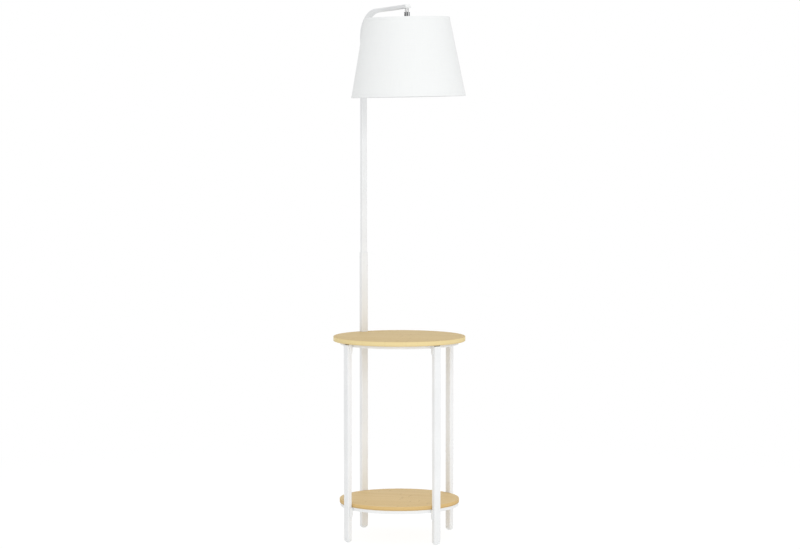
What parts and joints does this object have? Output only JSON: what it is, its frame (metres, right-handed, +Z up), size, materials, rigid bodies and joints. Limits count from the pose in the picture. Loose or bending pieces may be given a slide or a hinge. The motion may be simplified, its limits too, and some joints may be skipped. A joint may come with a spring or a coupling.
{
  "type": "floor lamp with table",
  "caption": "Slim white floor lamp whose hanging drum shade swings and turns on a bent tube over a round wooden side table with a lower shelf.",
  "frame": {"origin": "on the floor under the middle of the round table", "axes": "+Z up, -Y towards the front, where the two front legs stand; the pole is the back left leg"},
  "size_m": [0.4051, 0.4, 1.6107],
  "materials": {
    "bamboo": "satin lacquered light bamboo",
    "white_paint": "satin white powder coat",
    "white_plastic": "satin white moulded plastic",
    "holder_plastic": "gloss white moulded plastic",
    "lead_sheath": "soft white sheath",
    "polished_steel": "polished chrome",
    "brass": "plain brass",
    "zinc": "zinc plated",
    "bulb_glass": "opal glass",
    "shade_fabric": "white woven fabric on a stiff liner",
    "shade_tape": "white woven tape"
  },
  "bodies": {
    "root": {"table_top": "bamboo", "shelf": "bamboo", "top_ring": "white_paint", "shelf_ring": "white_paint", "leg_front_left": "white_paint", "leg_front_right": "white_paint", "leg_back_right": "white_paint", "pole_lower": "white_paint", "pole_upper": "white_paint", "plug_front_left": "white_plastic", "plug_front_right": "white_plastic", "plug_back_right": "white_plastic", "arm_end_plug": "white_plastic", "foot_front_left": "white_plastic", "foot_front_right": "white_plastic", "foot_back_right": "white_plastic", "foot_back_left": "white_plastic", "top_saddle_front_left": "white_paint", "top_saddle_front_right": "white_paint", "top_saddle_back_right": "white_paint", "top_saddle_back_left": "white_paint", "shelf_saddle_front_left": "white_paint", "shelf_saddle_front_right": "white_paint", "shelf_saddle_back_right": "white_paint", "shelf_saddle_back_left": "white_paint", "top_leg_screws": "zinc", "shelf_leg_screws": "zinc", "top_rivet_nuts": "zinc", "shelf_rivet_nuts": "zinc", "top_wood_screws": "zinc", "shelf_wood_screws": "zinc", "pole_lock_screw": "zinc", "pole_weld_nut": "zinc", "cable_grommet": "white_plastic", "inner_lead": "lead_sheath", "hanger": "polished_steel"},
    "swivel": {"swivel_cup": "polished_steel"},
    "lamp": {"swivel_nipple": "zinc", "nipple_nut": "zinc", "holder_cap": "holder_plastic", "holder_body": "holder_plastic", "holder_screw_shell": "brass", "holder_centre_contact": "brass", "lamp_lead": "lead_sheath", "collar_ring": "holder_plastic", "bulb_glass": "bulb_glass", "bulb_base": "brass", "bulb_tip": "zinc", "shade_spider": "white_paint", "shade_bottom_wire": "white_paint", "shade_cover": "shade_fabric", "shade_top_trim": "shade_tape", "shade_bottom_trim": "shade_tape"}
  },
  "joints": [
    {"name": "shade_tilt", "type": "hinge", "parent": "root", "child": "swivel", "pos_m": [0.02758, -0.02758, 1.584], "axis": [0.707, 0.7071, 0.0148], "range_deg": [-20, 7]},
    {"name": "shade_turn", "type": "hinge", "parent": "swivel", "child": "lamp", "pos_m": [0.02758, -0.02758, 1.584], "axis": [-0.0209, 0, 0.9998], "range_deg": [-170, 170]}
  ]
}
